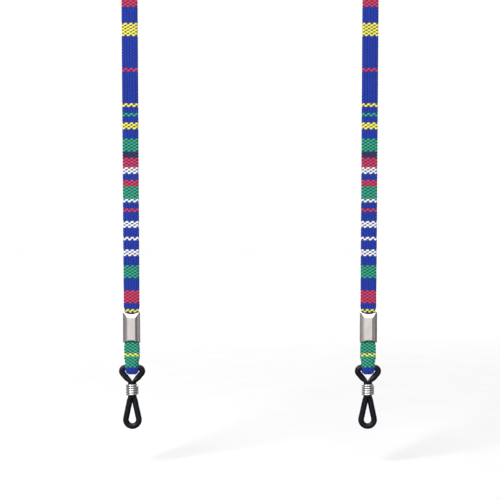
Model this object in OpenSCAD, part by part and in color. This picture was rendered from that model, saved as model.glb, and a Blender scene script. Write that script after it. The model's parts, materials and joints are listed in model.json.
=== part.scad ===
// Eyeglass retainer strap, hung as it is worn: round the back of a neck, with both ends down in front.
// +Z is up and -Y is the wearer's front. The origin is where the middle of the strap rests on the neck.

/* [Strap] */
// Length from the tip of one rubber loop to the tip of the other, laid out straight
overall_l = 700; // [680:10:800]
// Width of the woven band
strap_w = 5.2; // [5:0.1:5.3]
// Thickness of one layer of the band
strap_t = 1.3; // [1.2:0.05:1.3]

/* [Drape] */
// Radius of the strap's centre line round the back and sides of the neck
neck_r = 64; // [60:1:72]
// Radius of the bend from the side of the neck to the chest
chest_r = 26; // [22:1:32]
// Radius of the bend over the middle of the neck, in the surface that the strap lies on
crest_r = 80; // [70:5:100]
// Radius of the bend from the slope down to the hanging arm, in the same surface
turn_r = 60; // [50:5:65]
// Slope of the strap from the back of the neck down to the front, in degrees
slope = 20; // [15:1:25]

/* [Ferrule] */
// Length along the strap
ferrule_l = 10; // [9:0.5:11]
// Width across the strap
ferrule_w = 5.5; // [5.4:0.1:5.8]
// Depth from the front panel to the rolled back
ferrule_d = 3.5; // [3.4:0.05:3.6]
// Thickness of the sheet
sheet_t = 0.4; // [0.35:0.05:0.45]
// Width of the flat front panel between its long bevels
panel_w = 3.2; // [2.8:0.1:3.6]
// How far the middle of each rim is cut back from its corners
rim_dip = 0.7; // [0.5:0.1:0.9]

/* [Folded end] */
// From the ferrule's lower rim to the axis that the rubber loop swings on
fold_drop = 8.2; // [7.5:0.1:9]
// Width of the cloth where it wraps the rubber cord
fold_w = 4.4; // [4:0.1:4.4]

/* [Rubber loop] */
// Diameter of the cord
cord_d = 1.9; // [1.8:0.05:1.9]
// Outer width of the upper eye
upper_eye_w = 8.5; // [8.4:0.1:8.7]
// Outer width of the glasses eye
lower_eye_w = 6.1; // [5.8:0.1:6.6]
// Diameter that both strands are squeezed into by the coil
neck_d = 2.7; // [2.6:0.05:2.7]

/* [Coil] */
// Outer diameter
coil_d = 4.2; // [4.2:0.05:4.3]
// Diameter of the wire
wire_d = 0.7; // [0.6:0.05:0.7]
// Number of turns
coil_turns = 4.25; // [4:0.25:5]
// Distance from turn to turn
coil_pitch = 0.765; // [0.75:0.005:0.8]

/* [Motion] */
// Furthest that an end tilts on the strap, in degrees either way
flex_limit = 60; // [30:5:60]
// How far the coil slides down from its place at rest
grip_travel = 2; // [1:0.25:2.5]

/* [Hidden] */
round_fn = 48;
// Longest step along the bends of the band
step_l = 4;
// Gap between moving neighbours, gap between cloth and sheet, and how far cuts and joined blocks overlap
fit_gap = 0.05;
cloth_gap = 0.03;
lap = 0.1;

// The end, from the axis it tilts on downwards. The gap at the axis closes on one face at full tilt.
flex_h = 3;
flex_gap = strap_t * tan(flex_limit / 2) + lap;
swing_z = -(flex_h + ferrule_l + fold_drop);

// The rubber loop's centre line, from the axis it swings on downwards: a shoulder, a slant to the neck
// in the coil, where both strands press together, and a slant out to the glasses eye
cord_r = cord_d / 2;
strand_x = 0.85;
slit = 0.04;
shoulder_r = 1.15;
shoulder_x = (upper_eye_w - cord_d) / 2 - shoulder_r;
upper_slant = 40;
upper_bend_r = 1.4;
upper_run = shoulder_x + shoulder_r * cos(upper_slant)
    - strand_x - upper_bend_r * (1 - cos(upper_slant));
neck_top = shoulder_r * (1 + sin(upper_slant)) + upper_run / tan(upper_slant)
    + upper_bend_r * sin(upper_slant);
coil_l = coil_turns * coil_pitch + wire_d;
coil_top = neck_top + fit_gap;
neck_l = coil_l + grip_travel + 2 * fit_gap;
eye_r = (lower_eye_w - cord_d) / 2;
lower_slant = 13.5;
lower_bend_r = 4;
lower_run = eye_r * cos(lower_slant) - strand_x - lower_bend_r * (1 - cos(lower_slant));
eye_z = -(neck_top + neck_l + lower_bend_r * sin(lower_slant) + lower_run / tan(lower_slant)
    + eye_r * sin(lower_slant));
end_l = -swing_z - eye_z + eye_r + cord_r;

// The strap's path on the upright surface that it lies on: round the neck, then flat across the chest
arm_x = neck_r - chest_r;
neck_arc = neck_r * PI / 2;
path_w = (neck_r + chest_r) * PI / 2;
slope_l = (path_w - crest_r * sin(slope) - turn_r * (1 - sin(slope))) / cos(slope);
crest_s = crest_r * slope * PI / 180;
slope_s = crest_s + slope_l;
turn_s = slope_s + turn_r * (90 - slope) * PI / 180;
drape_h = crest_r * (1 - cos(slope)) + slope_l * sin(slope) + turn_r * cos(slope);
arm_l = overall_l / 2 - end_l - turn_s;
nape = [0, neck_r + chest_r - strap_t / 2, arm_l + drape_h];

// Outline of the band's cross-section, a flat bar with round edges
function band_section(w, t) = [
    for (side = [1, -1], a = [90:-30:-90])
        [side * ((w - t) / 2 + t / 2 * cos(a)), side * t / 2 * sin(a)]
];

// How far along the surface, how far below the crest and how steep the path is at s from its middle
function slope_at(s) =
    s < crest_s ? s / crest_r * 180 / PI
    : s < slope_s ? slope
    : min(90, slope + (s - slope_s) / turn_r * 180 / PI);
function along_at(s) =
    s < crest_s ? crest_r * sin(slope_at(s))
    : s < slope_s ? crest_r * sin(slope) + (s - crest_s) * cos(slope)
    : path_w - turn_r * (1 - sin(slope_at(s)));
function below_at(s) =
    s < crest_s ? crest_r * (1 - cos(slope_at(s)))
    : s < slope_s ? crest_r * (1 - cos(slope)) + (s - crest_s) * sin(slope)
    : drape_h - turn_r * cos(slope_at(s)) + max(0, s - turn_s);

// Direction that the surface faces at u from the back of the neck, as degrees from +Y towards +X
function facing_at(u) =
    u < neck_arc ? u / neck_r * 180 / PI : 90 + (u - neck_arc) / chest_r * 180 / PI;

// The band's ring of points at s from its middle, on the side given by the sign of s
function ring_at(s) =
    let (side = s < 0 ? -1 : 1)
    let (u = along_at(abs(s)))
    let (facing = facing_at(u))
    let (steep = slope_at(abs(s)))
    let (out = [sin(facing), cos(facing), 0])
    let (onward = [cos(facing), -sin(facing), 0])
    let (bend = u < neck_arc ? neck_r : chest_r)
    let (centre = [u < neck_arc ? 0 : neck_r - chest_r, chest_r, 0])
    let (up = onward * sin(steep) + [0, 0, cos(steep)])
    let (middle = centre + out * bend + [0, 0, arm_l + drape_h - below_at(abs(s))])
    [
        for (p = band_section(strap_w, strap_t))
            let (q = middle + up * p[0] + out * p[1])
            [side * q[0], q[1], q[2]]
    ];

// A solid through a row of rings that have the same number of points, with flat ends or closed on itself
module through_rings(rings, closed = false) {
    n = len(rings[0]);
    last = len(rings) - 1;
    sides = [
        for (i = [0:closed ? last : last - 1], j = [0:n - 1])
            let (here = i * n, next = (i + 1) % (last + 1) * n, k = (j + 1) % n)
            each [[here + j, next + j, here + k], [here + k, next + j, next + k]]
    ];
    ends = [[for (j = [0:n - 1]) j], [for (j = [n - 1:-1:0]) last * n + j]];
    polyhedron(points = [for (ring = rings, p = ring) p], faces = closed ? sides : concat(sides, ends));
}

// Half outline of the ferrule: bevelled front panel, straight side and a back that rolls in to the seam
seam_w = 0.2;
roll_r = (ferrule_w - seam_w) / 4;
roll_x = ferrule_w / 2 - roll_r;
roll_y = ferrule_d / 2 - roll_r;
function ferrule_half(inset, drop) = concat(
    [
        [panel_w / 2 - inset / 2, -ferrule_d / 2 + inset],
        [ferrule_w / 2 - inset, -ferrule_d / 4 + inset / 3],
    ],
    [for (a = [0:15:180]) [roll_x, roll_y] + (roll_r - inset) * [cos(a), sin(a)]],
    [[roll_x - roll_r + inset, roll_y - drop]]
);
function ferrule_outline(inset, drop = 0) =
    let (half = ferrule_half(inset, drop))
    concat(half, [for (i = [len(half) - 1:-1:0]) [-half[i][0], half[i][1]]]);

// The fold round the swing axis: its outer radius, the height where its two layers meet, the height
// up to which it is gathered and over which it widens again, and the bevel of its edges from the
// full width at inner_r to outer_w at the outside
fold_r = cord_r + fit_gap + strap_t;
layers_z = 4.2;
gather_z = 1.7;
flare_l = 1.2;
inner_r = 1.25;
outer_w = 2.7;

// The cloth's side view, from the ferrule down to the fold
module fold_side() {
    half = concat(
        [[strap_t, fold_drop - fit_gap], [strap_t, layers_z]],
        [for (a = [15:-15:-90]) fold_r * [cos(a), sin(a)]]
    );
    polygon(concat(half, [for (i = [len(half) - 2:-1:0]) [-half[i][0], half[i][1]]]));
}

// The cloth's front view: full width under the ferrule, gathered in towards the cord
module fold_front() {
    half = [
        [strap_w / 2, fold_drop],
        [strap_w / 2, gather_z + flare_l],
        [fold_w / 2, gather_z],
        [fold_w / 2, -fold_r - lap],
    ];
    polygon(concat(half, [for (i = [len(half) - 1:-1:0]) [-half[i][0], half[i][1]]]));
}

// Room for the cloth where the cord swings round it: its outer layer is narrower than its inner one
module swing_room() {
    rotate([0, 90, 0])
        rotate_extrude($fn = round_fn)
        polygon([
            [0, -fold_w / 2], [inner_r, -fold_w / 2], [fold_r + lap, -outer_w / 2],
            [fold_r + lap, outer_w / 2], [inner_r, fold_w / 2], [0, fold_w / 2]
        ]);
    translate([-strap_w, -2 * fold_r, gather_z]) cube([2 * strap_w, 4 * fold_r, fold_drop]);
}

// The tunnel for the cord, and the wedge above it where the two layers part
module fold_tunnel() {
    tunnel_r = cord_r + fit_gap;
    wedge_w = 1.6 * tunnel_r;
    rotate([0, 90, 0]) cylinder(h = 2 * strap_w, r = tunnel_r, center = true, $fn = round_fn);
    rotate([90, 0, 90])
        linear_extrude(2 * strap_w, center = true)
        polygon([[-wedge_w / 2, 0], [wedge_w / 2, 0], [0, layers_z - strap_t]]);
}

// Folded cloth below the ferrule, drawn round the swing axis
module folded_cloth() {
    difference() {
        intersection() {
            rotate([90, 0, 90]) linear_extrude(strap_w, center = true) fold_side();
            rotate([90, 0, 0]) linear_extrude(3 * fold_r, center = true) fold_front();
            swing_room();
        }
        fold_tunnel();
    }
}

// Stations of the cord's centre line on a bend in the XZ plane, each a point, the direction that
// faces out of the loop there, and how far the cord is squeezed from round to its shape in the coil
function cord_bend(centre, r, from, to, steps, out, squeeze) = [
    for (i = [0:steps])
        let (a = from + (to - from) * i / steps)
        [
            centre + r * [cos(a), sin(a)],
            out * [cos(a), sin(a)],
            squeeze[0] + (squeeze[1] - squeeze[0]) * i / steps,
        ]
];

// Ring of points round the cord at a station on its right half. Strands that meet press flat.
function cord_ring(station) = [
    for (a = [337.5:-22.5:0])
        let (squeezed = max(slit / 2, neck_d / 2 * cos(a)) - strand_x)
        let (across = (1 - station[2]) * cord_r * cos(a) + station[2] * squeezed)
        let (deep = ((1 - station[2]) * cord_r + station[2] * neck_d / 2) * sin(a))
        let (p = station[0] + across * station[1])
        [station[0][0] > slit / 2 ? max(slit / 2, p[0]) : 0, deep, p[1]]
];

// Rubber loop, drawn round the swing axis: down the right strand, round the eye and up the left
module rubber_loop() {
    half = concat(
        cord_bend([shoulder_x, -shoulder_r], shoulder_r, 90, -upper_slant, 9, 1, [0, 0]),
        cord_bend(
            [strand_x + upper_bend_r, -neck_top],
            upper_bend_r, 180 - upper_slant, 180, 6, -1, [0, 1]
        ),
        cord_bend(
            [strand_x + lower_bend_r, -neck_top - neck_l],
            lower_bend_r, 180, 180 + lower_slant, 5, -1, [1, 0]
        ),
        cord_bend([0, eye_z], eye_r, lower_slant, -90, 10, 1, [0, 0])
    );
    right = [for (station = half) cord_ring(station)];
    left = [for (i = [len(right) - 2:-1:0]) [for (p = right[i]) [-p[0], p[1], p[2]]]];
    color("#1b1d26") through_rings(concat(right, left), true);
}

// Coil, drawn round the swing axis
module coil() {
    turn_steps = 20;
    wire_points = 8;
    wind_r = (coil_d - wire_d) / 2;
    steps = round(coil_turns * turn_steps);
    color("#c9cacc")
        translate([0, 0, -coil_top - coil_l + wire_d / 2])
        through_rings([
            for (i = [0:steps])
                let (turn = 360 * i / turn_steps)
                [
                    for (j = [0:wire_points - 1])
                        let (a = -360 * j / wire_points)
                        let (r = wind_r + wire_d / 2 * cos(a))
                        [r * cos(turn), r * sin(turn), coil_pitch * i / turn_steps + wire_d / 2 * sin(a)]
                ]
        ]);
}

// Wedge that bevels the front of the sheet at a rim: bevel_d deep at the rim and run long.
// It is drawn for the lower rim at z = 0, with the ferrule above it.
module rim_bevel(run) {
    front = -ferrule_d / 2;
    bevel_d = 0.3;
    rotate([90, 0, 90])
        linear_extrude(2 * ferrule_w, center = true)
        polygon([
            [front - 1, -1], [front - 1, run], [front, run], [front + bevel_d, 0], [front + bevel_d, -1]
        ]);
}

// Ferrule, drawn round the flex axis: an open crimped sheet with hollowed rims
module ferrule() {
    rim_r = pow(ferrule_w, 2) / (8 * rim_dip) + rim_dip / 2;
    top_bevel_l = 1.6;
    low_bevel_l = 0.9;
    notch_w = 1.4;
    notch_l = 0.9;
    color("#d5d2cd")
        translate([0, 0, -flex_h - ferrule_l])
        difference() {
            linear_extrude(ferrule_l) polygon(ferrule_outline(0));
            translate([0, 0, -1]) linear_extrude(ferrule_l + 2) polygon(ferrule_outline(sheet_t));
            // Seam down the back, with a notch at both rims
            translate([-seam_w / 2, 0, -1]) cube([seam_w, ferrule_d, ferrule_l + 2]);
            for (z = [0, ferrule_l])
                translate([0, 0, z])
                rotate([-90, 0, 0])
                linear_extrude(ferrule_d)
                polygon([[-notch_w / 2, 0], [0, -notch_l], [notch_w / 2, 0], [0, notch_l]]);
            // Bevels along the front of both rims
            rim_bevel(low_bevel_l);
            translate([0, 0, ferrule_l]) mirror([0, 0, 1]) rim_bevel(top_bevel_l);
            // Hollowed rims
            for (z = [rim_dip - rim_r, ferrule_l + rim_r - rim_dip])
                translate([0, 0, z])
                rotate([90, 0, 0])
                cylinder(h = 2 * ferrule_d, r = rim_r, center = true, $fn = 2 * round_fn);
        }
}

// End of the strap, drawn round the flex axis: single above, double in and below the ferrule
module strap_end() {
    // How far the returned tail stops below the ferrule's upper rim
    raw_end = 1.2;
    color("#2c9878") {
        translate([0, 0, -flex_h + cloth_gap])
            linear_extrude(flex_h - cloth_gap - flex_gap / 2)
            polygon(band_section(strap_w, strap_t));
        translate([0, 0, -flex_h - raw_end - lap])
            linear_extrude(raw_end + 2 * lap)
            intersection() {
                polygon(ferrule_outline(sheet_t + cloth_gap, cloth_gap));
                square([ferrule_w, strap_t], center = true);
            }
        translate([0, 0, -flex_h - ferrule_l - lap])
            linear_extrude(ferrule_l + lap - raw_end)
            polygon(ferrule_outline(sheet_t + cloth_gap, cloth_gap));
        translate([0, 0, swing_z]) folded_cloth();
    }
}

// Both hanging arms and the band round the neck, between the two flex axes
module band() {
    bends = ceil(turn_s / step_l);
    half = concat([for (i = [1:bends]) turn_s * i / bends], [turn_s + arm_l - flex_gap / 2]);
    stations = concat([for (i = [len(half) - 1:-1:0]) -half[i]], [0], half);
    color("#3d5fd0") through_rings([for (s = stations) ring_at(s)]);
}

// Puts what is drawn round the middle of the flex axes into the worn frame
module worn() {
    translate(-nape) children();
}

// Puts what is drawn round a flex axis at the left (-1) or right (1) arm
module on_arm(side) {
    worn() translate([side * arm_x, 0, 0]) children();
}

// Puts what is drawn round a swing axis at the left (-1) or right (1) arm
module on_fold(side) {
    on_arm(side) translate([0, 0, swing_z]) children();
}

worn() band();  // woven_strap
on_arm(-1) strap_end();  // strap_end_left
on_arm(1) strap_end();  // strap_end_right
on_arm(-1) ferrule();  // ferrule_left
on_arm(1) ferrule();  // ferrule_right
on_fold(-1) rubber_loop();  // rubber_loop_left
on_fold(1) rubber_loop();  // rubber_loop_right
on_fold(-1) coil();  // coil_left
on_fold(1) coil();  // coil_right
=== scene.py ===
import json
import math

import bpy
import numpy as np
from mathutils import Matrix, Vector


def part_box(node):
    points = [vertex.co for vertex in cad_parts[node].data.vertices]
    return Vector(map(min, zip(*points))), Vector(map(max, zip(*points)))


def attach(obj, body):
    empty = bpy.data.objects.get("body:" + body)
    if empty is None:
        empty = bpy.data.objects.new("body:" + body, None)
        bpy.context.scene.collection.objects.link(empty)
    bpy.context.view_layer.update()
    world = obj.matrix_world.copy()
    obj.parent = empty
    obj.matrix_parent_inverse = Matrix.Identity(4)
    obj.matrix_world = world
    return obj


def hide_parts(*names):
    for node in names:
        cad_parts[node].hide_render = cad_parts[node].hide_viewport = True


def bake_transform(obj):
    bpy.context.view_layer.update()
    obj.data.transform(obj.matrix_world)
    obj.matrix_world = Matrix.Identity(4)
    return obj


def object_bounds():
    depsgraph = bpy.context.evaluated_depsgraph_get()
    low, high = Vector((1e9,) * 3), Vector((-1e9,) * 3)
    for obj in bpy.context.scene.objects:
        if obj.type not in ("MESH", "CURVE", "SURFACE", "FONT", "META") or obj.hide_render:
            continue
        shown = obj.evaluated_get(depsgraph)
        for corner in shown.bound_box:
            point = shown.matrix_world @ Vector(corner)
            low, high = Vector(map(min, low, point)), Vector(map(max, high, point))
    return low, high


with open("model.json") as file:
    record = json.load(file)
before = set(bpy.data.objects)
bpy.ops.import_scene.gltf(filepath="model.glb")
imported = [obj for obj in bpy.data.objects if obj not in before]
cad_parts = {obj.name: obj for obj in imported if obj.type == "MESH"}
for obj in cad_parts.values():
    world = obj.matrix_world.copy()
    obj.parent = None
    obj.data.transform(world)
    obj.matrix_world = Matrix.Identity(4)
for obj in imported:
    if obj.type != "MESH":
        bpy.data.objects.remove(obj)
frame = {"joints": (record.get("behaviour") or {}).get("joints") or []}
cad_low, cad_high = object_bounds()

MM = 0.001
# Smaller than any size that matters
TINY = 1e-6
SIDES = ("left", "right")

# ---- Sizes of the part, in millimetres, all from the frame or as in the CAD model ----
hinges = [joint for joint in frame["joints"] if joint["type"] == "hinge"]
joints = {joint["name"]: np.array(joint["pos_m"]) / MM for joint in hinges}
FLEX = joints["flex_right"]
SWING_Z = joints["swing_right"][2] - FLEX[2]
ARM_X = FLEX[0]


def box_mm(node):
    """Lowest and highest corner of a CAD node, in millimetres from the right flex axis."""
    low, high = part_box(node)
    return np.array(low) / MM - FLEX, np.array(high) / MM - FLEX


ferrule_low, ferrule_high = box_mm("ferrule_right")
coil_low, coil_high = box_mm("coil_right")
loop_low, loop_high = box_mm("rubber_loop_right")

STRAP_W = 5.2
STRAP_T = 1.3
# The path of the strap: radii seen from above, round the neck and then in onto the chest
NECK_R = 64
CHEST_R = NECK_R - ARM_X
# Radii seen from the side, over the nape and where the slope turns down into a hanging arm
CREST_R = 80
TURN_R = 60
SLOPE = math.radians(20)

# Distances along the strap from the nape (S), its length seen from above and its drop
CREST_S = CREST_R * SLOPE
PATH_W = (NECK_R + CHEST_R) * math.pi / 2
SLOPE_L = (PATH_W - CREST_R * math.sin(SLOPE) - TURN_R * (1 - math.sin(SLOPE))) / math.cos(SLOPE)
SLOPE_S = CREST_S + SLOPE_L
TURN_S = SLOPE_S + TURN_R * (math.pi / 2 - SLOPE)
DRAPE_H = CREST_R * (1 - math.cos(SLOPE)) + SLOPE_L * math.sin(SLOPE) + TURN_R * math.cos(SLOPE)
FLEX_S = TURN_S - FLEX[2] - DRAPE_H
RIM_S = FLEX_S - ferrule_high[2]

# ---- The weave: picks run across the band and columns of warp run along it ----
PICKS = 618
PICK = RIM_S / PICKS
ROWS_PER_PICK = 4
COLUMNS = 14
POINTS_PER_COLUMN = 4
SECTION_POINTS = COLUMNS * POINTS_PER_COLUMN
# The column in the middle of the band's outer face
FACE_CENTRE = 2.5
# Heights of a weft float, of the warp dot between floats and of a bare warp rib
FLOAT_H = 0.17
DOT_H = 0.08
RIB_H = 0.13
# How far the tops of the floats stand out of the nominal surface
PROUD_H = 0.02
# How much the floats lean, in picks
LEAN = 0.12
# Level of the checker above which weft covers the warp. Below 0 the floats are wider than the dots
COVER = -0.28
# Above 1, the dots are lens-shaped
SLENDER = 2.2
# How sharply one weft colour gives way to the next
EDGE_STEEP = 2.0
# Below 1, a yarn has a full, round top
YARN_ROUND = 0.55
RIB_ROUND = 0.7
# Shares of the ribs and of the checker in bare warp
RIB_SHARE = 0.8
RIB_CHECKER = 0.2

# Weft colours, in sRGB. B is the warp showing through
COLOURS = {
    "B": (0.13, 0.23, 0.70),
    "N": (0.07, 0.08, 0.25),
    "R": (0.86, 0.12, 0.25),
    "G": (0.02, 0.67, 0.45),
    "Y": (1.00, 0.96, 0.26),
    "W": (0.99, 0.99, 0.99),
}
# Colour and number of picks, upwards from the ferrule
DRAFT = (
    "Y2 B4 R8 B8 G8 B6 W4 B6 W2 B6 W4 B6 R2 B4 W2 G8 R4 B4 W4 R6 N4 G8 B6 Y4 B4 G2 B4 Y2 B20 R2 "
    "B20 Y8 B10 R5 B4 W5 B12 W2 B6 W2 B6 W2 B6 W2 B4 R4 N18"
)
# The same from the bottom of the fold, up the layer behind and up the returned tail in front
BACK_DRAFT = "N3 B5 R2 B8 R2 B40"
TAIL_DRAFT = "B6 G7 Y2 G40"

# ---- The folded end, from the flex axis downwards ----
# Depth of the middle of each layer, and radius of the cloth's middle round the cord
LAYER_Y = STRAP_T / 2
FOLD_R = 1.65
# Height above the swing axis where the two layers part
PART_Z = 4.4
# The band moves back by half its thickness over this length, to make room for the tail
ENTRY_RUN = 3.5
# How far the tail reaches up into the ferrule
TAIL_IN = 5.8
# Steps along the cloth: on straight stretches, where the layers part and round the cord
STRAIGHT_STEP = 0.1
PART_POINTS = 40
FOLD_POINTS = 60
# The folded end's path takes over from the worn path this far above the flex axis
END_LEAD = 1
# Stands for the height of rows that aren't on the folded end
FAR_ABOVE = 99
# Half widths in the fold and above it, with their heights above the swing axis
FOLD_HALF = 2.15
FOLD_TOP = 1.7
LAYERS_HALF = 2.5
LAYERS_FOOT = 3.2
# The cloth narrows over these lengths into the ferrule, and ends this far inside its sides
LOW_TAPER = 1.2
TOP_TAPER = 1.6
SIDE_GAP = 0.45
# The fold's inner face is bevelled to its edges: from here outwards, over this width, this deep
CROWN_W = 0.8
CROWN_RUN = 1.4
CROWN_DROP = 1.05
# The bevel is full at the fold and fades out over CROWN_FADE, up to this height
CROWN_TOP = 3.0
CROWN_FADE = 1.3
# Air between the ferrule's faces and the cloth, and the length over which it swells outside
FRONT_GAP = 0.25
BACK_GAP = 0.1
SWELL_RUN = 1.0
# Painted shade: the cloth is this much darker where it enters the ferrule, over this length
RIM_SHADE = 0.88
SHADE_RUN = 0.55
# Picks above the ferrule that belong to the end piece, not to the band
END_PICKS = 26


def smooth(x):
    """0 below 0, 1 above 1 and an S-curve in between."""
    t = np.clip(x, 0, 1)
    return t * t * (3 - 2 * t)


def linear(rgb):
    """An sRGB colour as linear light, with alpha 1."""
    return [((c + 0.055) / 1.055) ** 2.4 if c > 0.04 else c / 12.92 for c in rgb] + [1.0]


# ---- Meshes ----
def tube(name, rings, normals=None):
    """A mesh through rings of points in millimetres, with a flat cap at both ends."""
    count, size = rings.shape[:2]
    index = np.arange(count * size).reshape(count, size)
    here, ahead = index[:-1], index[1:]
    quads = np.stack([here, np.roll(here, -1, 1), np.roll(ahead, -1, 1), ahead], axis=-1)
    faces = quads.reshape(-1, 4).tolist()
    faces += [index[0][::-1].tolist(), index[-1].tolist()]
    mesh = bpy.data.meshes.new(name)
    mesh.from_pydata((rings.reshape(-1, 3) * MM).tolist(), [], faces)
    mesh.shade_smooth()
    if normals is not None:
        mesh.normals_split_custom_set_from_vertices(normals.reshape(-1, 3).tolist())
    piece = bpy.data.objects.new(name, mesh)
    bpy.context.scene.collection.objects.link(piece)
    return piece


def finish_piece(piece, material, node):
    """Gives a piece its material and hides the CAD node that it stands for."""
    piece.data.materials.append(material)
    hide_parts(node)


# ---- Path of the strap ----
def worn_path(a):
    """Middle, outer and width direction of the band at a mm from the nape on the right."""
    turned = np.minimum(math.pi / 2, SLOPE + (a - SLOPE_S) / TURN_R)
    steep = np.where(a < CREST_S, a / CREST_R, np.where(a < SLOPE_S, SLOPE, turned))
    run = a - CREST_S
    along = np.where(
        a < CREST_S,
        CREST_R * np.sin(steep),
        np.where(
            a < SLOPE_S,
            CREST_R * math.sin(SLOPE) + run * math.cos(SLOPE),
            PATH_W - TURN_R * (1 - np.sin(steep)),
        ),
    )
    below = np.where(
        a < CREST_S,
        CREST_R * (1 - np.cos(steep)),
        np.where(
            a < SLOPE_S,
            CREST_R * (1 - math.cos(SLOPE)) + run * math.sin(SLOPE),
            DRAPE_H - TURN_R * np.cos(steep) + np.maximum(0, a - TURN_S),
        ),
    )
    neck_arc = NECK_R * math.pi / 2
    on_neck = along < neck_arc
    facing = np.where(on_neck, along / NECK_R, math.pi / 2 + (along - neck_arc) / CHEST_R)
    bend = np.where(on_neck, NECK_R, CHEST_R)
    zero = np.zeros_like(a)
    out = np.stack([np.sin(facing), np.cos(facing), zero], -1)
    onward = np.stack([np.cos(facing), -np.sin(facing), zero], -1)
    centre = np.stack([np.where(on_neck, 0, ARM_X), zero + CHEST_R + FLEX[1], -below], -1)
    across = onward * np.sin(steep)[:, None]
    across[:, 2] = np.cos(steep)
    return centre + out * bend[:, None], out, across


def fold_line():
    """Side view of the folded end from the flex axis: depth, height and length along the cloth."""
    down = np.arange(0, SWING_Z + PART_Z, -STRAIGHT_STEP)
    entry = LAYER_Y * smooth((ferrule_high[2] - down) / ENTRY_RUN)
    spread = np.linspace(SWING_Z + PART_Z, SWING_Z, PART_POINTS)
    parting = LAYER_Y + (FOLD_R - LAYER_Y) * smooth((SWING_Z + PART_Z - spread) / PART_Z)
    angle = np.linspace(0, math.pi, FOLD_POINTS)[1:-1]
    tail_top = ferrule_low[2] + TAIL_IN
    up = np.arange(SWING_Z + PART_Z, tail_top, STRAIGHT_STEP)[1:]
    tail = -LAYER_Y + 0 * up
    depth = np.concatenate([entry, parting, FOLD_R * np.cos(angle), -parting[::-1], tail])
    height = np.concatenate([down, spread, SWING_Z - FOLD_R * np.sin(angle), spread[::-1], up])
    run = np.concatenate([[0], np.cumsum(np.hypot(np.diff(depth), np.diff(height)))])
    return depth, height, run


fold_depth, fold_height, fold_run = fold_line()
BOTTOM_S = FLEX_S + fold_run[np.argmin(fold_height)]
TAIL_S = FLEX_S + fold_run[-1]


def end_path(a):
    """Middle, outer and width direction of the folded end at a mm from the nape, and its height."""
    run = a - FLEX_S
    depth = np.interp(run, fold_run, fold_depth)
    height = np.where(run < 0, -run, np.interp(run, fold_run, fold_height))
    step = np.gradient(a)
    forward = np.stack([0 * a, np.gradient(depth) / step, np.gradient(height) / step], -1)
    forward /= np.linalg.norm(forward, axis=1)[:, None]
    middle = np.stack([0 * a, depth, height], -1) + FLEX
    out = np.stack([0 * a, forward[:, 2], -forward[:, 1]], -1)
    across = np.stack([0 * a - 1, 0 * a, 0 * a], -1)
    return middle, out, across, height - SWING_Z


def both_ends_path(s):
    """end_path for both signs of s. Rows of the left repeat those of the right, unmirrored."""
    return [np.concatenate([part[:0:-1], part]) for part in end_path(s[s >= 0])]


# ---- The woven cloth ----
def runs(draft):
    """One letter for each pick of a draft."""
    return "".join(part[0] * int(part[1:]) for part in draft.split())


def pick_letter(pick):
    """Colour letter of a pick, counted upwards from the ferrule's top rim."""
    above = runs(DRAFT)
    if pick >= 0:
        return above[pick % len(above)]
    past_bottom = (RIM_S - pick * PICK - BOTTOM_S) / PICK
    draft = runs(TAIL_DRAFT if past_bottom > 0 else BACK_DRAFT)
    return draft[min(int(abs(past_bottom)), len(draft) - 1)]


def section():
    """Outline of the band: column of each point, then its place and its normal, across and out."""
    column = np.arange(SECTION_POINTS) / POINTS_PER_COLUMN
    flat = STRAP_W - STRAP_T
    edge = math.pi * STRAP_T / 2
    half = flat + edge
    along = (column - FACE_CENTRE) * 2 * half / COLUMNS
    along = (along + half / 2) % (2 * half) - half / 2
    back = along > half / 2
    local = np.where(back, along - half, along)
    turn = np.clip((np.abs(local) - flat / 2) / (STRAP_T / 2), 0, math.pi / 2) * np.sign(local)
    across = np.clip(local, -flat / 2, flat / 2) + STRAP_T / 2 * np.sin(turn)
    out = STRAP_T / 2 * np.cos(turn)
    flip = np.where(back, -1, 1)
    return column, across * flip, out * flip, np.sin(turn) * flip, np.cos(turn) * flip


def half_width(height):
    """Half of the cloth's width at a height above the swing axis: fold, layers, ferrule, band."""
    rim_low = ferrule_low[2] - SWING_Z
    rim_high = ferrule_high[2] - SWING_Z
    inside = ferrule_high[0] - SIDE_GAP
    return np.interp(
        height,
        [FOLD_TOP, LAYERS_FOOT, rim_low - LOW_TAPER, rim_low, rim_high, rim_high + TOP_TAPER],
        [FOLD_HALF, LAYERS_HALF, LAYERS_HALF, inside, inside, STRAP_W / 2],
    )


def relief(column, pick, woven):
    """Height of the yarn above the ground of the weave. woven is the share of weft."""
    level = np.cos(math.pi * pick)
    checker = np.cos(math.pi * column) * np.sign(level) * np.abs(level) ** SLENDER
    over = np.clip((checker - COVER) / (1 - COVER), 0, 1) ** YARN_ROUND
    under = np.clip((COVER - checker) / (1 + COVER), 0, 1) ** YARN_ROUND
    ribs = np.abs(np.cos(math.pi * column))
    rib = np.clip(RIB_SHARE * ribs + RIB_CHECKER * checker, 0, 1) ** RIB_ROUND
    return woven * (FLOAT_H * over + DOT_H * under) + (1 - woven) * RIB_H * rib


def nearest_floats(column, pick):
    """Picks of a point's two nearest floats and the share of the second, which grows towards it.

    Floats lie where column and pick are both even or both odd, so each fills a diamond.
    """
    beside, level = np.rint(column), np.rint(pick)
    aside, above = np.abs(column - beside), np.abs(pick - level)
    between = (beside + level) % 2 == 1
    edge = np.where(between, above - aside, above + aside - 1)
    share = np.clip(0.5 + EDGE_STEEP * edge, 0, 1)
    return level.astype(int), (level + np.where(pick > level, 1, -1)).astype(int), share


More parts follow.
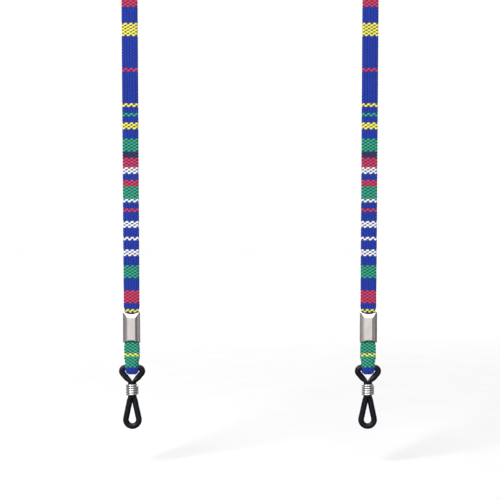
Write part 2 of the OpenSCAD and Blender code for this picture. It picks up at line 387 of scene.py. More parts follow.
def weft_colours(column, pick):
    """Linear weft colour of each point, with the share of weft as its alpha."""
    near, other, share = nearest_floats(column, pick)
    first = min(near.min(), other.min())
    letters = [pick_letter(n) for n in range(first, max(near.max(), other.max()) + 1)]
    palette = np.array([linear(COLOURS[letter]) for letter in letters])
    palette[:, 3] = [letter != "B" for letter in letters]
    near, other = palette[near - first], palette[other - first]
    near_weight = (1 - share)[..., None] * near[..., 3:]
    other_weight = share[..., None] * other[..., 3:]
    woven = near_weight + other_weight
    colour = (near_weight * near + other_weight * other) / np.maximum(woven, TINY)
    colour[..., 3:] = woven
    return colour


def depth_in_ferrule(place):
    """How far places, measured from the flex axis, are inside the ferrule's nearer rim."""
    x, z = place[..., 0], place[..., 2]
    dip = rim_dip(x)
    return np.minimum(z - ferrule_low[2] - dip, ferrule_high[2] - dip - z)


def press_shift(place):
    """Shift in depth that keeps the cloth between the ferrule's faces.

    Places are measured from the flex axis. Outside the ferrule the shift fades out.
    """
    x, y, z = np.moveaxis(place, -1, 0)
    held = smooth(1 + depth_in_ferrule(place) / SWELL_RUN)
    front = front_face(x, z) + SHEET_T + FRONT_GAP
    back = back_face(x) - SHEET_T - BACK_GAP
    return held * (-soft_max(-soft_max(y, front), -back) - y)


def strap_grid():
    """The whole strap as one grid, and the number of rows on each side of the nape.

    Each row has points, normals, weft colours, shade and picks. All rows share the same columns.
    """
    count = int(TAIL_S / PICK * ROWS_PER_PICK)
    s = np.arange(-count, count + 1) * PICK / ROWS_PER_PICK
    a = np.abs(s)
    side = np.where(s < 0, -1, 1)
    middle, out, across = worn_path(a)
    lower, lower_out, lower_across, height = both_ends_path(s)
    on_end = a > FLEX_S - END_LEAD
    middle = np.where(on_end[:, None], lower, middle)
    out = np.where(on_end[:, None], lower_out, out)
    across = np.where(on_end[:, None], lower_across, across)
    height = np.where(on_end, height, FAR_ABOVE)

    column, place_across, place_out, normal_across, normal_out = section()
    pick = (RIM_S - a)[:, None] / PICK
    pick = pick + LEAN * (side[:, None] * normal_out * np.sin(2 * math.pi * column))
    weft = weft_colours(column[None, :], pick)
    raised = relief(column[None, :], pick, weft[..., 3])

    narrow = half_width(height)[:, None] / (STRAP_W / 2)
    gathered = smooth((CROWN_TOP - height) / CROWN_FADE)[:, None]
    x = place_across * narrow
    crown = CROWN_DROP * np.clip((np.abs(x) - CROWN_W) / CROWN_RUN, 0, 1) ** 2
    share = (place_out / (STRAP_T / 2) + 1) / 2
    y = place_out + gathered * (1 - share) * crown
    ground = middle[:, None] + x[..., None] * across[:, None] + y[..., None] * out[:, None]
    upright = normal_across[:, None] * across[:, None] + normal_out[:, None] * out[:, None]
    points = ground + (raised - FLOAT_H + PROUD_H)[..., None] * upright
    points[..., 1] += press_shift(ground - FLEX)
    # Painted shade at the ferrule's rims, darkest inside the ferrule
    shade = 1 - RIM_SHADE * (1 - smooth(-depth_in_ferrule(ground - FLEX) / SHADE_RUN))
    points[..., 0] *= side[:, None]
    along_row = np.roll(points, -1, 1) - np.roll(points, 1, 1)
    normals = np.cross(along_row, np.gradient(points, axis=0))
    normals /= np.linalg.norm(normals, axis=-1)[..., None]
    return (points, normals, weft, shade, pick), column, count


def cloth_piece(name, rows, column, start, stop):
    """One stretch of the strap between two rows, with its weave as attributes and UVs."""
    points, normals, weft, shade, pick = [part[start : stop + 1] for part in rows]
    piece = tube(name, points, normals=normals)
    mesh = piece.data
    colour = mesh.color_attributes.new("weft", "FLOAT_COLOR", "POINT")
    colour.data.foreach_set("color", weft.astype(np.float32).ravel())
    # The painted shade at the ferrule's rims, kept as a vertex attribute
    dark = mesh.attributes.new("shade", "FLOAT", "POINT")
    dark.data.foreach_set("value", shade.astype(np.float32).ravel())
    vertex = np.zeros(len(mesh.loops), int)
    mesh.loops.foreach_get("vertex_index", vertex)
    u = column[vertex % SECTION_POINTS]
    # The corners of the quads come first and those of the two caps last. The last quad of each
    # ring closes it, so its far side is column COLUMNS and not column 0
    in_quads = len(vertex) - 2 * SECTION_POINTS
    quad = np.arange(in_quads) // 4
    closing = np.zeros(len(vertex), bool)
    closing[:in_quads] = quad % SECTION_POINTS == SECTION_POINTS - 1
    u = np.where(closing & (u == 0), COLUMNS, u)
    weave = np.stack([u, pick.reshape(-1)[vertex]], -1)
    layer = mesh.uv_layers.new(name="weave")
    layer.data.foreach_set("uv", weave.astype(np.float32).ravel())
    return piece


def build_strap(cloth):
    """The band in four stretches, and an end on each side, which runs down past the flex axis."""
    rows, column, count = strap_grid()
    reach = (PICKS - END_PICKS) * ROWS_PER_PICK
    cuts = [count + reach * k // 2 for k in (-2, -1, 0, 1, 2)]
    stretches = ("left_arm", "left_neck", "right_neck", "right_arm")
    for stretch, start, stop in zip(stretches, cuts, cuts[1:]):
        piece = cloth_piece(f"woven_band_{stretch}", rows, column, start, stop)
        finish_piece(piece, cloth, "woven_strap")
        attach(piece, "band")
    ends = {"left": (0, cuts[0]), "right": (cuts[-1], 2 * count)}
    for side, (start, stop) in ends.items():
        piece = cloth_piece(f"woven_end_{side}", rows, column, start, stop)
        finish_piece(piece, cloth, f"strap_end_{side}")
        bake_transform(piece)


# ---- The ferrule ----
SHEET_T = 0.4
# Half width of the flat panel in front, between the two side bevels
PANEL_HALF = 1.2
# Radius of the rolled back edges, half the seam's gap and how far the back sinks to the seam
ROLL_R = 1.325
SEAM_HALF = 0.05
SEAM_SINK = 0.4
# How deep the rims are hollowed between the corners
RIM_DIP = 0.7
# How much the side bevels bulge, and the lengths and depths of the bevels at the rims
BEVEL_SWELL = 0.07
TOP_BEVEL_L = 1.9
TOP_BEVEL_D = 0.7
LOW_BEVEL_L = 1.0
LOW_BEVEL_D = 0.25
# The notches in the back at both ends of the seam
NOTCH_HALF = 0.7
NOTCH_L = 0.9
# How softly two faces of the sheet meet
EDGE_SOFT = 0.06
# Numbers of points round half of the section, along the ferrule and round a sheet edge
SEAM_POINTS = 14
ROLL_POINTS = 16
SIDE_POINTS = 8
FRONT_POINTS = 25
LENGTH_POINTS = 72
EDGE_STEPS = 6


def soft_max(a, b):
    """The larger of two values, with the corner between them rounded."""
    return (a + b + np.sqrt((a - b) ** 2 + EDGE_SOFT**2)) / 2


def rim_dip(x):
    """How far the hollow rims stand back from the ferrule's corners."""
    return RIM_DIP * (1 - np.clip(x / ferrule_high[0], -1, 1) ** 2)


def front_face(x, z):
    """Depth of the ferrule's bevelled front face, measured like x and z from the flex axis."""
    half_w, half_d = ferrule_high[:2]
    beside = (np.abs(x) - PANEL_HALF) / (half_w - PANEL_HALF)
    swell = BEVEL_SWELL * np.sin(math.pi * np.clip(beside, 0, 1))
    side_bevel = soft_max(beside * half_d / 2 - swell, 0 * x)
    top_bevel = TOP_BEVEL_D * (1 - (ferrule_high[2] - z) / TOP_BEVEL_L)
    low_bevel = LOW_BEVEL_D * (1 - (z - ferrule_low[2]) / LOW_BEVEL_L)
    bevel = soft_max(soft_max(side_bevel, top_bevel), low_bevel)
    return np.minimum(-half_d + bevel, -half_d / 2)


def back_face(x):
    """Depth of the ferrule's rolled back, which sinks towards its seam."""
    half_w, half_d = ferrule_high[:2]
    crown_x = half_w - ROLL_R
    beyond = np.clip(np.abs(x) - crown_x, 0, ROLL_R)
    sunk = SEAM_SINK * np.clip((crown_x - np.abs(x)) / (crown_x - SEAM_HALF), 0, 1) ** 2
    return half_d - ROLL_R + np.sqrt(ROLL_R**2 - beyond**2) - sunk


def ferrule_contour():
    """Outline of the ferrule seen from above, from one side of the back seam to the other."""
    half_w, half_d = ferrule_high[:2]
    crown_x = half_w - ROLL_R
    seam_x = np.linspace(SEAM_HALF, crown_x, SEAM_POINTS)[:-1]
    turn = np.linspace(math.pi / 2, 0, ROLL_POINTS)
    rolled_x = crown_x + ROLL_R * np.cos(turn)
    rolled = np.stack([rolled_x, half_d - ROLL_R * (1 - np.sin(turn))], -1)
    roll = np.concatenate([np.stack([seam_x, back_face(seam_x)], -1), rolled])
    side_y = np.linspace(half_d - ROLL_R, -half_d / 2, SIDE_POINTS)[1:-1]
    side = np.stack([half_w + 0 * side_y, side_y], -1)
    front_x = np.linspace(half_w, 0, FRONT_POINTS)
    front = np.stack([front_x, -half_d + 0 * front_x], -1)
    right = np.concatenate([roll, side, front])
    return np.concatenate([right, right[-2::-1] * [-1, 1]])


def inner_sheet(contour, z, is_front):
    """Inner side of the sheet in front and at the sides, where its corners stay clean."""
    half_w, half_d = ferrule_high[:2]
    shoulder = half_d / 2
    inner_w = half_w - SHEET_T
    x = contour[:, 0] * inner_w / half_w + 0 * z
    across_bevel = SHEET_T * math.hypot(1, shoulder / (half_w - PANEL_HALF))
    thick = np.where(np.abs(x) > PANEL_HALF, across_bevel, SHEET_T)
    corner_y = front_face(inner_w, z) + across_bevel
    up_side = (contour[:, 1] + shoulder) / (half_d - ROLL_R + shoulder)
    side_y = corner_y + up_side * (half_d - ROLL_R - corner_y)
    return np.stack([x, np.where(is_front, front_face(x, z) + thick, side_y), z], -1)


def ferrule_rings():
    """Rings round the upright section of the sheet, from one side of the back seam to the other."""
    half_d = ferrule_high[1]
    contour = ferrule_contour()
    is_front = contour[:, 1] < -half_d / 2 - TINY
    is_back = contour[:, 1] > half_d - ROLL_R + TINY

    x = contour[:, 0]
    notch = NOTCH_L * np.clip(1 - np.abs(x) / NOTCH_HALF, 0, 1) * is_back
    dip = rim_dip(x) + notch + SHEET_T / 2
    bottom = ferrule_low[2] + dip
    top = ferrule_high[2] - dip
    share = np.linspace(0, 1, LENGTH_POINTS)[:, None]
    z = bottom + share * (top - bottom)
    y = np.where(is_front, front_face(x, z), contour[:, 1])
    outer = np.stack([x + 0 * z, y, z], -1)

    normal = np.cross(np.gradient(outer, axis=0), np.gradient(outer, axis=1))
    normal /= np.linalg.norm(normal, axis=-1)[..., None]
    rolled_inner = outer - SHEET_T * normal
    inner = np.where(is_back[:, None], rolled_inner, inner_sheet(contour, z, is_front))
    centre = (outer + inner) / 2
    half = (outer - inner) / 2
    lift = np.array([0, 0, SHEET_T / 2])
    turns = [math.pi * k / EDGE_STEPS for k in range(1, EDGE_STEPS)]
    top_edge = [centre[-1] + math.cos(t) * half[-1] + math.sin(t) * lift for t in turns]
    low_edge = [centre[0] - math.cos(t) * half[0] - math.sin(t) * lift for t in turns]
    loop = np.concatenate([outer, np.array(top_edge), inner[::-1], np.array(low_edge)])
    return loop.transpose(1, 0, 2)


def build_ferrule(side, nickel):
    """A stamped, crimped sheet round the folded end."""
    piece = tube(f"crimped_ferrule_{side}", ferrule_rings() + joints[f"flex_{side}"])
    finish_piece(piece, nickel, f"ferrule_{side}")
    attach(piece, f"end_{side}")


# ---- The rubber loop and its coil ----
CORD_R = 0.95
# In the coil: the strands' distance from the middle, the slit between them and their outer radius
STRAND_X = 0.85
SLIT = 0.012
NECK_SQUEEZED_R = 1.35
# The cord's centre line: shoulders, slant to the coil, slant away from it and the glasses eye
SHOULDER_R = 1.15
UPPER_SLANT = math.radians(40)
UPPER_BEND_R = 1.4
LOWER_SLANT = math.radians(12)
LOWER_BEND_R = 4
EYE_R = 2.1
# The strands run side by side from this far above the coil
NECK_RISE = 0.05
# The cord goes from squeezed to round from here outside the coil, over this length and this fast
RELAX_START = 0.1
RELAX_L = 1.9
RELAX_EASE = 0.8
# Up to this far beyond RELAX_START, a strand is kept out of its twin
TWIN_REACH = 3.5
# Numbers of points: round the cord, on its half centre line and on each of its arcs
CORD_POINTS = 32
LINE_POINTS = 300
SHOULDER_POINTS = 40
BEND_POINTS = 16
EYE_POINTS = 50


def arc(centre, radius, start, stop, count):
    """Points on an arc in the XZ plane."""
    turn = np.linspace(start, stop, count)
    return np.stack([centre[0] + radius * np.cos(turn), centre[1] + radius * np.sin(turn)], -1)


def loop_half():
    """Centre line of the right half of the cord, in x and z from the swing axis, finely divided."""
    shoulder_x = loop_high[0] - CORD_R - SHOULDER_R
    eye_z = loop_low[2] - SWING_Z + CORD_R + EYE_R
    neck_top = coil_high[2] - SWING_Z + NECK_RISE
    bend_run = LOWER_BEND_R * (1 - math.cos(LOWER_SLANT))
    slant_run = EYE_R * math.cos(LOWER_SLANT) - STRAND_X - bend_run
    neck_low = eye_z + LOWER_BEND_R * math.sin(LOWER_SLANT) + slant_run / math.tan(LOWER_SLANT)
    neck_low += EYE_R * math.sin(LOWER_SLANT)
    shoulder = (shoulder_x, -SHOULDER_R)
    upper_bend = (STRAND_X + UPPER_BEND_R, neck_top)
    lower_bend = (STRAND_X + LOWER_BEND_R, neck_low)
    line = np.concatenate(
        [
            [[0, 0]],
            arc(shoulder, SHOULDER_R, math.pi / 2, -UPPER_SLANT, SHOULDER_POINTS),
            arc(upper_bend, UPPER_BEND_R, math.pi - UPPER_SLANT, math.pi, BEND_POINTS),
            arc(lower_bend, LOWER_BEND_R, math.pi, math.pi + LOWER_SLANT, BEND_POINTS),
            arc((0, eye_z), EYE_R, LOWER_SLANT, -math.pi / 2, EYE_POINTS),
        ]
    )
    run = np.concatenate([[0], np.cumsum(np.hypot(*np.diff(line, axis=0).T))])
    even = np.linspace(0, run[-1], LINE_POINTS)
    return np.stack([np.interp(even, run, line[:, 0]), np.interp(even, run, line[:, 1])], -1)


def cord_rings(line):
    """Rings round the cord's centre line, pressed flat against its twin in the coil."""
    forward = np.gradient(line, axis=0)
    forward /= np.linalg.norm(forward, axis=1)[:, None]
    facing = np.stack([-forward[:, 1], forward[:, 0]], -1)
    top = coil_high[2] - SWING_Z
    low = coil_low[2] - SWING_Z
    away = np.maximum(line[:, 1] - top, low - line[:, 1]) - RELAX_START
    squeeze = (1 - smooth(away / RELAX_L) ** RELAX_EASE)[:, None]
    turn = -np.linspace(0, 2 * math.pi, CORD_POINTS + 1)[:-1]
    flattened = np.maximum(SLIT / 2, NECK_SQUEEZED_R * np.cos(turn)) - STRAND_X
    across = (1 - squeeze) * CORD_R * np.cos(turn) + squeeze * flattened
    deep = ((1 - squeeze) * CORD_R + squeeze * NECK_SQUEEZED_R) * np.sin(turn)
    x = line[:, :1] + across * facing[:, :1]
    z = line[:, 1:] + across * facing[:, 1:]
    near_twin = (away < TWIN_REACH)[:, None]
    x = np.where(near_twin, np.maximum(x, SLIT / 2), x)
    return np.stack([x, deep, z], -1)


def build_loop(side, rubber):
    """The cord above and below the coil, pressed together where the coil grips it."""
    half = loop_half()
    rings = cord_rings(half)
    grip_z = (coil_high[2] + coil_low[2]) / 2 - SWING_Z
    place = joints[f"swing_{side}"]
    upper = rings[half[:, 1] > grip_z]
    lower = rings[half[:, 1] <= grip_z]
    mirrored = [-1, 1, 1]
    shapes = {
        "upper": np.concatenate([upper[::-1] * mirrored, upper[1:]]),
        "lower": np.concatenate([lower, lower[-2::-1] * mirrored]),
    }
    for part, shape in shapes.items():
        piece = tube(f"rubber_loop_{side}_{part}", shape + place)
        finish_piece(piece, rubber, f"rubber_loop_{side}")
        if part == "upper":
            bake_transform(piece)
        else:
            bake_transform(piece)


WIRE_R = 0.35
COIL_TURNS = 4.45
COIL_START = math.radians(-190)
TURN_STEPS = 60
WIRE_POINTS = 20
# The wire's radius at its cut ends and one step further in, as shares of WIRE_R
CUT_END = 0.6
CUT_EDGE = 0.9


def build_coil(side, wire):
    """A close-wound wire coil with cut ends."""
    steps = int(COIL_TURNS * TURN_STEPS)
    turn = COIL_START + 2 * math.pi * COIL_TURNS * np.linspace(0, 1, steps)
    wind_r = coil_high[0] - WIRE_R
    low = coil_low[2] + WIRE_R
    rise = (coil_high[2] - coil_low[2] - 2 * WIRE_R) * np.linspace(0, 1, steps)
    round_wire = np.linspace(0, 2 * math.pi, WIRE_POINTS + 1)[:-1]
    radius = np.full(steps, WIRE_R)
    radius[[0, -1]] = WIRE_R * CUT_END
    radius[[1, -2]] = WIRE_R * CUT_EDGE
    out = wind_r + radius[:, None] * np.cos(round_wire)
    up = low + rise[:, None] + radius[:, None] * np.sin(round_wire)
    rings = np.stack([out * np.cos(turn)[:, None], out * np.sin(turn)[:, None], up], -1)[:, ::-1]
    piece = tube(f"wire_coil_{side}", rings + joints[f"flex_{side}"])
    finish_piece(piece, wire, f"coil_{side}")
    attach(piece, f"grip_{side}")


# ---- Materials. Scales of noise are per metre and depths of bumps in metres ----
class Tree:
    """Short calls for a node tree. An input is a number, a colour or another node's output."""

    def __init__(self, tree):
        self.tree = tree

    def node(self, kind, inputs=None, **settings):
        """A new node with its settings made and its inputs set or linked."""
        made = self.tree.nodes.new(kind)
        for key, value in settings.items():
            setattr(made, key, value)
        for key, value in (inputs or {}).items():
            if isinstance(value, bpy.types.NodeSocket):
                self.tree.links.new(value, made.inputs[key])
            else:
                made.inputs[key].default_value = value
        return made

    def math(self, operation, *values):
        return self.node("ShaderNodeMath", dict(enumerate(values)), operation=operation).outputs[0]

    def span(self, value, low, high, start=0.0, end=1.0):
        """value's place between low and high, as a smooth step from start to end."""
        inputs = {0: value, 1: low, 2: high, 3: start, 4: end}
        return self.node("ShaderNodeMapRange", inputs, interpolation_type="SMOOTHSTEP").outputs[0]

    def mix(self, share, a, b, blend="MIX"):
        inputs = {0: share, 6: a, 7: b}
        made = self.node("ShaderNodeMix", inputs, data_type="RGBA", blend_type=blend)
        return made.outputs[2]

    def grey(self, value):
        """A colour with value in all three channels."""
        return self.node("ShaderNodeCombineColor", dict.fromkeys(range(3), value)).outputs[0]

    def noise(self, vector, scale, detail=4.0, rough=0.55):
        inputs = {"Vector": vector, "Scale": scale, "Detail": detail, "Roughness": rough}
        return self.node("ShaderNodeTexNoise", inputs).outputs["Fac"]

    def scaled(self, vector, size):
        made = self.node("ShaderNodeVectorMath", {0: vector, 1: size}, operation="MULTIPLY")
        return made.outputs[0]

    def bump(self, height, strength, distance):
        inputs = {"Height": height, "Strength": strength, "Distance": distance}
        return self.node("ShaderNodeBump", inputs).outputs[0]


def new_material(name):
    """A material with an empty tree, its Principled shader and its object coordinates."""
    material = bpy.data.materials.new(name)
    material.use_nodes = True
    material.node_tree.nodes.clear()
    tree = Tree(material.node_tree)
    surface = tree.node("ShaderNodeBsdfPrincipled")
    tree.node("ShaderNodeOutputMaterial", {"Surface": surface.outputs[0]})
    place = tree.node("ShaderNodeTexCoord").outputs["Object"]
    return material, tree, surface, place


def set_inputs(tree, surface, **values):
    """Sets or links inputs of a Principled shader, with underscores for spaces."""
    for key, value in values.items():
        socket = surface.inputs[key.replace("_", " ")]
        if isinstance(value, bpy.types.NodeSocket):
            tree.tree.links.new(value, socket)
        else:
            socket.default_value = value


# Warp colours, in sRGB: between its fibres, on them and where it sinks under the weft
WARP_DEEP = (0.07, 0.13, 0.46)
WARP_PALE = (0.19, 0.30, 0.76)
# The last is a painted shade, for the warp sunk between the weft floats
WARP_SHADED = (0.02, 0.04, 0.13)
# Linear colours, mixed in for deep fibres, for pale ones and for soiled patches
YARN_DEEP = (0.02, 0.02, 0.05, 1.0)
WHITE = (1.0, 1.0, 1.0, 1.0)
SOILED = (0.01, 0.01, 0.03, 1.0)
# Half width of the soft edge between weft and warp in the checker
COVER_EDGE = 0.07
# Scale of the fibres per column and per pick. Warp runs along the band and weft across it
WARP_FIBRES = (11.0, 1.6, 1.0)
WEFT_FIBRES = (1.5, 9.0, 1.0)
PATCH_SCALE = 160.0
FUZZ_SCALE = 9000.0
FIBRE_DEPTH = 0.00005


def cloth_material():
    """Cotton: coloured weft floats over a blue warp, with fibres, painted highlights on the yarn
    tops and painted shade in the gaps and at the ferrule's rims.
    """
    material, tree, surface, place = new_material("woven_cotton")
    weave = tree.node("ShaderNodeUVMap", uv_map="weave").outputs[0]
    parts = tree.node("ShaderNodeSeparateXYZ", {0: weave})
    u, w = parts.outputs[0], parts.outputs[1]
    weft = tree.node("ShaderNodeAttribute", attribute_name="weft")
    ridge = tree.math("COSINE", tree.math("MULTIPLY", u, math.pi))
    level = tree.math("COSINE", tree.math("MULTIPLY", w, math.pi))
    slender = tree.math("POWER", tree.math("ABSOLUTE", level), SLENDER)
    level = tree.math("MULTIPLY", tree.math("SIGN", level), slender)
    checker = tree.math("MULTIPLY", ridge, level)
    over = tree.span(checker, COVER - COVER_EDGE, COVER + COVER_EDGE)
    woven = tree.span(weft.outputs["Alpha"], 0.35, 0.65)
    float_here = tree.math("MULTIPLY", over, woven)

    warp_fibre = tree.noise(tree.scaled(weave, WARP_FIBRES), 1.0)
    weft_fibre = tree.noise(tree.scaled(weave, WEFT_FIBRES), 1.0)
    patches = tree.noise(place, PATCH_SCALE, 2.0)
    warp = tree.mix(tree.span(warp_fibre, 0.3, 0.72), linear(WARP_DEEP), linear(WARP_PALE))
    # Painted shade and highlight on the warp: darker where it dips under the weft, lighter where it
    # rises
    warp_relief_shading = tree.span(checker, -0.9, 0.9, 0.72, 1.14)
    warp = tree.mix(1.0, warp, tree.grey(warp_relief_shading), "MULTIPLY")
    deep = tree.mix(0.2, weft.outputs["Color"], YARN_DEEP)
    tint = tree.mix(0.07, weft.outputs["Color"], WHITE)
    yarn = tree.mix(tree.span(weft_fibre, 0.28, 0.7), deep, tint)
    # Painted shade at the edges of each weft float and a painted highlight on its top
    float_shade_and_highlight = tree.span(checker, COVER, 0.8, 0.56, 1.2)
    yarn = tree.mix(1.0, yarn, tree.grey(float_shade_and_highlight), "MULTIPLY")
    # Painted shade on the warp dots sunk between the weft floats
    sunk = tree.mix(0.3, warp, linear(WARP_SHADED))
    dot = tree.mix(woven, warp, sunk)
    colour = tree.mix(float_here, dot, yarn)

    # Painted shade in the creases between weft and warp and in the grooves between bare warp ribs
    from_edge = tree.math("ABSOLUTE", tree.math("SUBTRACT", checker, COVER))
    gap = tree.span(from_edge, 0.0, 0.22, 0.6, 1.0)
    rib_groove_shade = tree.span(tree.math("ABSOLUTE", ridge), 0.0, 0.6, 0.4, 1.05)
    depth = tree.mix(woven, rib_groove_shade, gap)
    colour = tree.mix(1.0, colour, depth, "MULTIPLY")
    colour = tree.mix(tree.span(patches, 0.35, 0.7, 0.0, 0.08), colour, SOILED)
    # Painted shade at the ferrule's rims darkens the cloth
    shade = tree.node("ShaderNodeAttribute", attribute_name="shade").outputs["Fac"]
    colour = tree.mix(1.0, colour, tree.grey(shade), "MULTIPLY")
    fibre = tree.mix(float_here, warp_fibre, weft_fibre)
    fuzz = tree.noise(place, FUZZ_SCALE, 3.0, 0.7)
    height = tree.math("ADD", fibre, tree.math("MULTIPLY", fuzz, 0.5))
    set_inputs(
        tree,
        surface,
        Base_Color=colour,
        Roughness=tree.span(fuzz, 0.2, 0.8, 0.68, 0.92),
        Specular_IOR_Level=0.12,
        Sheen_Weight=0.06,
        Sheen_Roughness=0.45,
        Normal=tree.bump(height, 0.5, FIBRE_DEPTH),
    )
    return material


# Each metal: two sRGB tones, least roughness, and scale of its scratches in x, y and z
NICKEL_DARK = (0.86, 0.83, 0.82)
NICKEL_LIGHT = (0.90, 0.88, 0.87)
NICKEL_ROUGH = 0.10
NICKEL_LINES = (900.0, 900.0, 60.0)
WIRE_DARK = (0.76, 0.76, 0.77)
WIRE_LIGHT = (0.90, 0.90, 0.90)
WIRE_ROUGH = 0.12
WIRE_LINES = (700.0, 700.0, 700.0)
# Both metals
MARK_SCALE = 420.0
PIT_SCALE = 5200.0
SCRATCH_DEPTH = 0.00002


def metal_material(name, dark, light, least_rough, line_scale):
    """Plated metal with fine scratches, handling marks and a slightly uneven polish."""
    material, tree, surface, place = new_material(name)
    marks = tree.noise(place, MARK_SCALE, 5.0)
    lines = tree.noise(tree.scaled(place, line_scale), 1.0, 6.0, 0.7)
    pits = tree.noise(place, PIT_SCALE, 2.0)
    colour = tree.mix(tree.span(marks, 0.3, 0.7), linear(dark), linear(light))
    rough = tree.math("ADD", least_rough, tree.span(marks, 0.35, 0.75, 0.0, 0.05))
    rough = tree.math("ADD", rough, tree.span(lines, 0.45, 0.8, 0.0, 0.05))
    height = tree.math("ADD", lines, tree.math("MULTIPLY", pits, 0.4))
    set_inputs(
        tree,
        surface,
        Base_Color=colour,
        Metallic=1.0,
        Roughness=rough,
        Normal=tree.bump(height, 0.06, SCRATCH_DEPTH),
    )
    return material


# Rubber colours, in sRGB
RUBBER_DARK = (0.035, 0.042, 0.075)
RUBBER_WORN = (0.07, 0.08, 0.125)
RUBBER_DUST = (0.22, 0.23, 0.28)
GRAIN_SCALE = 4200.0
WEAR_SCALE = 330.0
GRAIN_DEPTH = 0.00004


def rubber_material():
    """Satin black rubber with a fine grain, a trace of dust and worn, duller patches."""
    material, tree, surface, place = new_material("satin_rubber")
    grain = tree.noise(place, GRAIN_SCALE, 4.0, 0.65)
    wear = tree.noise(place, WEAR_SCALE, 4.0)
    colour = tree.mix(tree.span(wear, 0.35, 0.7), linear(RUBBER_DARK), linear(RUBBER_WORN))
    colour = tree.mix(tree.span(grain, 0.62, 0.8, 0.0, 0.25), colour, linear(RUBBER_DUST))
    set_inputs(
        tree,
        surface,
        Base_Color=colour,
        Roughness=tree.span(wear, 0.3, 0.75, 0.24, 0.38),
        Specular_IOR_Level=0.22,
        Normal=tree.bump(grain, 0.35, GRAIN_DEPTH),
    )
    return material


# ---- Stage ----
# Sizes and places on the stage are in metres
FLOOR_GAP = 0.012
FLOOR_R = 1.2
FLOOR_DIM = (0.88, 0.88, 0.88, 1.0)
FLOOR_BRIGHT = (0.90, 0.90, 0.90, 1.0)
SPECKLE_SCALE = 60.0
# The light that falls on matt surfaces from all round
SURROUNDINGS = (0.52, 0.52, 0.53, 1.0)
# The middle of the bright strip that metal mirrors on the right, as a sideways direction
STRIP_X = 0.83
# The lights aim at this height above the lowest point of the object
AIM_H = 0.07
# Name, place with its height above the aim, size and power
LIGHTS = (
    ("key", (-0.45, -0.55, 0.55), 0.35, 4.6),
    ("fill", (0.1, -0.85, 0.5), 0.5, 1.2),
    ("back", (0.1, 0.7, 0.6), 0.6, 1.5),
)


def build_floor():
    """A pale floor that fades into the pale surroundings and doesn't show in the metal."""
    material, tree, surface, place = new_material("pale_floor")
    away = tree.node("ShaderNodeVectorMath", {0: place}, operation="LENGTH").outputs["Value"]
    speckle = tree.noise(place, SPECKLE_SCALE, 4.0)
    colour = tree.mix(tree.span(speckle, 0.3, 0.7), FLOOR_DIM, FLOOR_BRIGHT)
    set_inputs(
        tree,
        surface,
        Base_Color=colour,
        Roughness=0.7,
        Emission_Color=WHITE,
        Emission_Strength=tree.span(away, 0.1 * FLOOR_R, 0.5 * FLOOR_R, 0.06, 0.3),
    )
    clear = tree.node("ShaderNodeBsdfTransparent").outputs[0]
    glossy = tree.node("ShaderNodeLightPath").outputs["Is Glossy Ray"]
    fade = tree.math("MAXIMUM", glossy, tree.span(away, 0.15 * FLOOR_R, 0.9 * FLOOR_R))
    mixed = tree.node("ShaderNodeMixShader", {0: fade, 1: surface.outputs[0], 2: clear})
    output = next(n for n in tree.tree.nodes if n.type == "OUTPUT_MATERIAL")
    tree.tree.links.new(mixed.outputs[0], output.inputs[0])
    bpy.ops.mesh.primitive_circle_add(vertices=128, radius=FLOOR_R, fill_type="NGON")
    floor = bpy.context.object
    floor.name = "floor"
    floor.location.z = cad_low[2] - FLOOR_GAP
    floor.location.y = cad_low[1]
    floor.data.materials.append(material)


def add_light(name, place, aim, size, power):
    """A square soft light that points from place to aim, both in metres."""
    lamp = bpy.data.lights.new(name, "AREA")
    lamp.size = size
    lamp.energy = power
    light = bpy.data.objects.new(name, lamp)
    bpy.context.scene.collection.objects.link(light)
    direction = Vector(aim) - Vector(place)
    light.location = place
    light.rotation_euler = direction.to_track_quat("-Z", "Y").to_euler()


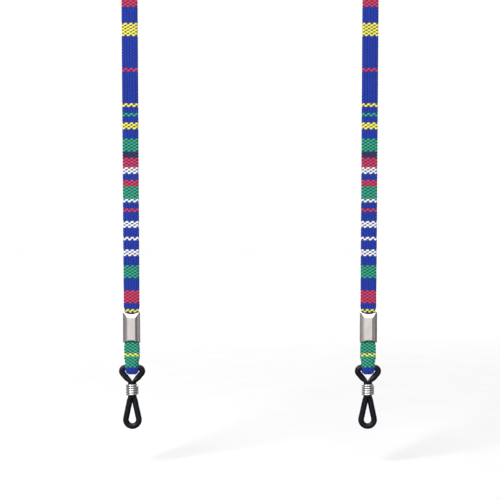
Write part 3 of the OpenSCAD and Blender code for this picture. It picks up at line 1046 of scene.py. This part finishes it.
def build_world():
    """White to the camera. Metal mirrors a room brighter above and darker below and beside."""
    world = bpy.data.worlds.new("studio")
    bpy.context.scene.world = world
    world.use_nodes = True
    world.node_tree.nodes.clear()
    tree = Tree(world.node_tree)
    direction = tree.node("ShaderNodeTexCoord").outputs["Generated"]
    parts = tree.node("ShaderNodeSeparateXYZ", {0: direction})
    # Each span goes from one direction to another and from one brightness to another
    upward = tree.span(parts.outputs[2], -0.05, 0.5, 0.93, 1.6)
    downward = tree.span(parts.outputs[2], -0.75, -0.12, 0.25, 1.0)
    right = tree.span(parts.outputs[0], 0.15, 0.6, 1.0, 0.2)
    beside = tree.math("ABSOLUTE", tree.math("SUBTRACT", parts.outputs[0], STRIP_X))
    right = tree.math("ADD", right, tree.span(beside, 0.02, 0.12, 0.22, 0.0))
    left = tree.span(parts.outputs[0], -0.98, -0.4, 0.32, 1.0)
    vertical = tree.math("MULTIPLY", upward, downward)
    glow = tree.math("MULTIPLY", vertical, tree.math("MULTIPLY", right, left))
    glossy = tree.node("ShaderNodeLightPath").outputs["Is Glossy Ray"]
    camera = tree.node("ShaderNodeLightPath").outputs["Is Camera Ray"]
    strength = tree.mix(glossy, SURROUNDINGS, glow)
    strength = tree.mix(camera, strength, WHITE)
    back = tree.node("ShaderNodeBackground", {0: strength, 1: 1.0})
    tree.node("ShaderNodeOutputWorld", {0: back.outputs[0]})


# Lens and sensor in millimetres, and the width of the view in metres where the ends hang
LENS = 85.0
SENSOR = 36.0
VIEW_W = 0.160
# Space below the object in the picture
VIEW_MARGIN = 0.022
VIEW_TILT = math.radians(4)


def build_camera():
    """Square on to the hanging ends, as close as the ends need."""
    camera = bpy.data.cameras.new("camera")
    camera.lens = LENS
    camera.sensor_width = SENSOR
    eye = bpy.data.objects.new("camera", camera)
    bpy.context.scene.collection.objects.link(eye)
    target = Vector((0, FLEX[1] * MM, cad_low[2] - VIEW_MARGIN + VIEW_W / 2))
    back = Vector((0, -math.cos(VIEW_TILT), math.sin(VIEW_TILT)))
    eye.location = target + back * (VIEW_W * LENS / SENSOR)
    eye.rotation_euler = (-back).to_track_quat("-Z", "Y").to_euler()
    bpy.context.scene.camera = eye


def build_stage():
    """Floor, light and camera."""
    build_floor()
    build_world()
    aim = (0, FLEX[1] * MM, cad_low[2] + AIM_H)
    for name, (x, y, up), size, power in LIGHTS:
        add_light(name, (x, y, aim[2] + up), aim, size, power)
    bpy.context.scene.view_settings.view_transform = "Standard"
    build_camera()


build_strap(cloth_material())
nickel = metal_material("stamped_nickel", NICKEL_DARK, NICKEL_LIGHT, NICKEL_ROUGH, NICKEL_LINES)
wire = metal_material("drawn_wire", WIRE_DARK, WIRE_LIGHT, WIRE_ROUGH, WIRE_LINES)
rubber = rubber_material()
for side in SIDES:
    build_ferrule(side, nickel)
    build_loop(side, rubber)
    build_coil(side, wire)
build_stage()
